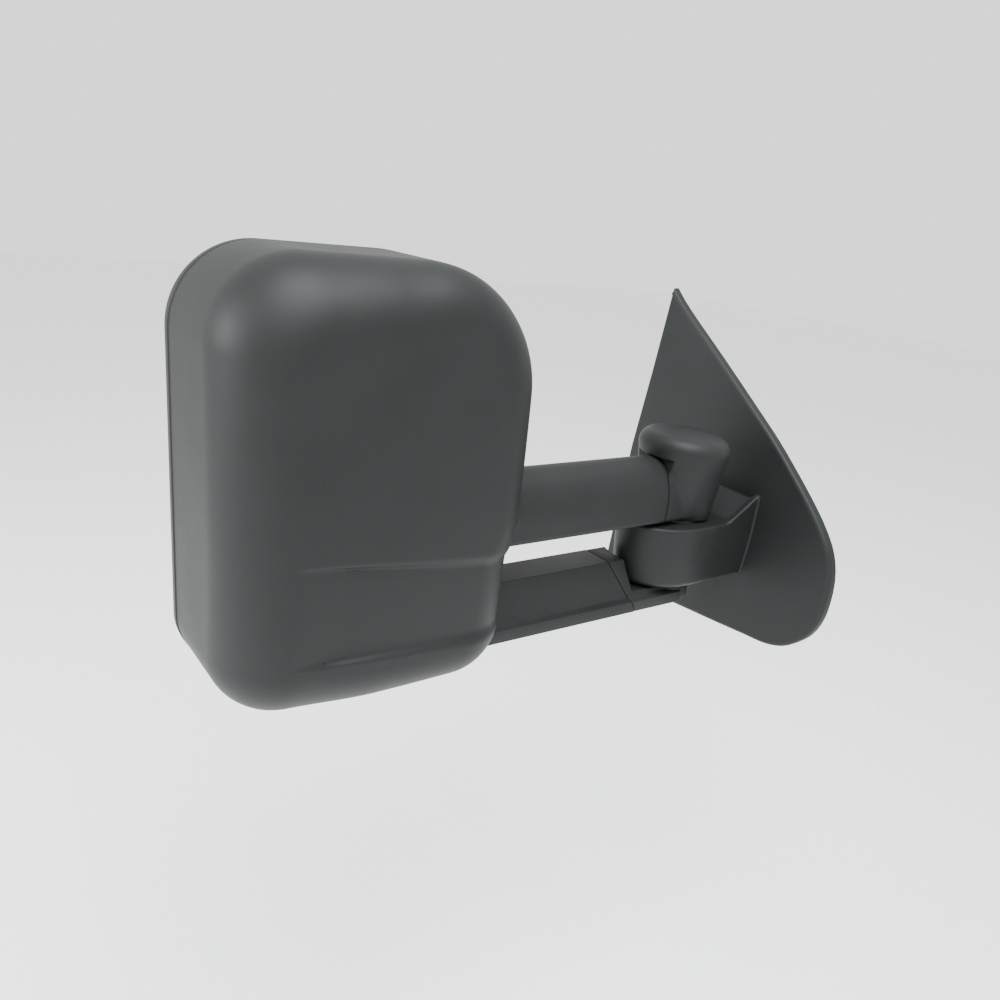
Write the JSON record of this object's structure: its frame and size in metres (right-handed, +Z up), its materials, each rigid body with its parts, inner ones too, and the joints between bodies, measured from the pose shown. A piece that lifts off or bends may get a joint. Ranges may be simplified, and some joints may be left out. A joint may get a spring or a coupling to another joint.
{
  "type": "towing mirror",
  "caption": "Door-mounted telescoping towing mirror: a tall head on two arms, folding about a foot on a triangular sail plate.",
  "frame": {"origin": "on the flat mounting face that lies against the door, level with the fold axis fore and aft", "axes": "+X inboard to the door and along the arms, the head towards -X; +Y rearward, the way the glass faces; +Z up"},
  "size_m": [0.5546, 0.291, 0.362],
  "materials": {
    "cover_plastic": "fine grained, charcoal black",
    "inner_plastic": "glass-filled, black",
    "rubber": "matt foam and rubber",
    "cast_metal": "as cast",
    "steel": "zinc plated",
    "mirror": "silvered glass"
  },
  "bodies": {
    "base": {"sail_cover": "cover_plastic", "base_bracket": "cast_metal", "sail_gasket": "rubber", "stud_1": "steel", "stud_2": "steel", "stud_3": "steel", "nut_1": "steel", "nut_2": "steel", "nut_3": "steel", "pivot_tube": "steel", "detent_ring": "steel", "fold_spring": "steel", "spring_retainer": "steel"},
    "arms": {"upper_arm": "inner_plastic", "pivot_cap": "cover_plastic", "lower_arm": "cover_plastic", "arm_tie": "cast_metal", "tie_screw_upper": "steel", "tie_screw_lower": "steel"},
    "head": {"back_cover": "cover_plastic", "upper_sleeve": "cover_plastic", "lower_sleeve": "cover_plastic", "bezel": "cover_plastic", "carrier": "inner_plastic", "upper_bush_inboard": "rubber", "upper_bush_outboard": "rubber", "friction_shoe": "rubber", "friction_spring": "steel", "carrier_screw_1": "steel", "carrier_screw_2": "steel", "carrier_screw_3": "steel", "carrier_screw_4": "steel", "main_ball_stud": "steel", "spot_ball_stud": "steel"},
    "main_ring": {"main_gimbal": "inner_plastic"},
    "main_mirror": {"main_backing": "inner_plastic", "main_glass": "mirror"},
    "spot_ring": {"spot_gimbal": "inner_plastic"},
    "spot_mirror": {"spot_backing": "inner_plastic", "spot_glass": "mirror"}
  },
  "joints": [
    {"name": "fold", "type": "hinge", "parent": "base", "child": "arms", "pos_m": [-0.087, 0, 0], "axis": [0, 0, 1], "range_deg": [-70, 60]},
    {"name": "extend", "type": "slide", "parent": "arms", "child": "head", "axis": [-1, 0, 0], "range_m": [0, 0.08]},
    {"name": "main_pan", "type": "hinge", "parent": "head", "child": "main_ring", "pos_m": [-0.412, 0.036, 0.153], "axis": [0, 0, 1], "range_deg": [-6, 6]},
    {"name": "main_tilt", "type": "hinge", "parent": "main_ring", "child": "main_mirror", "pos_m": [-0.412, 0.036, 0.153], "axis": [1, 0, 0], "range_deg": [-6, 6]},
    {"name": "spot_pan", "type": "hinge", "parent": "head", "child": "spot_ring", "pos_m": [-0.412, 0.036, 0.002], "axis": [0, 0, 1], "range_deg": [-6, 6]},
    {"name": "spot_tilt", "type": "hinge", "parent": "spot_ring", "child": "spot_mirror", "pos_m": [-0.412, 0.036, 0.002], "axis": [1, 0, 0], "range_deg": [-8, 8]}
  ]
}
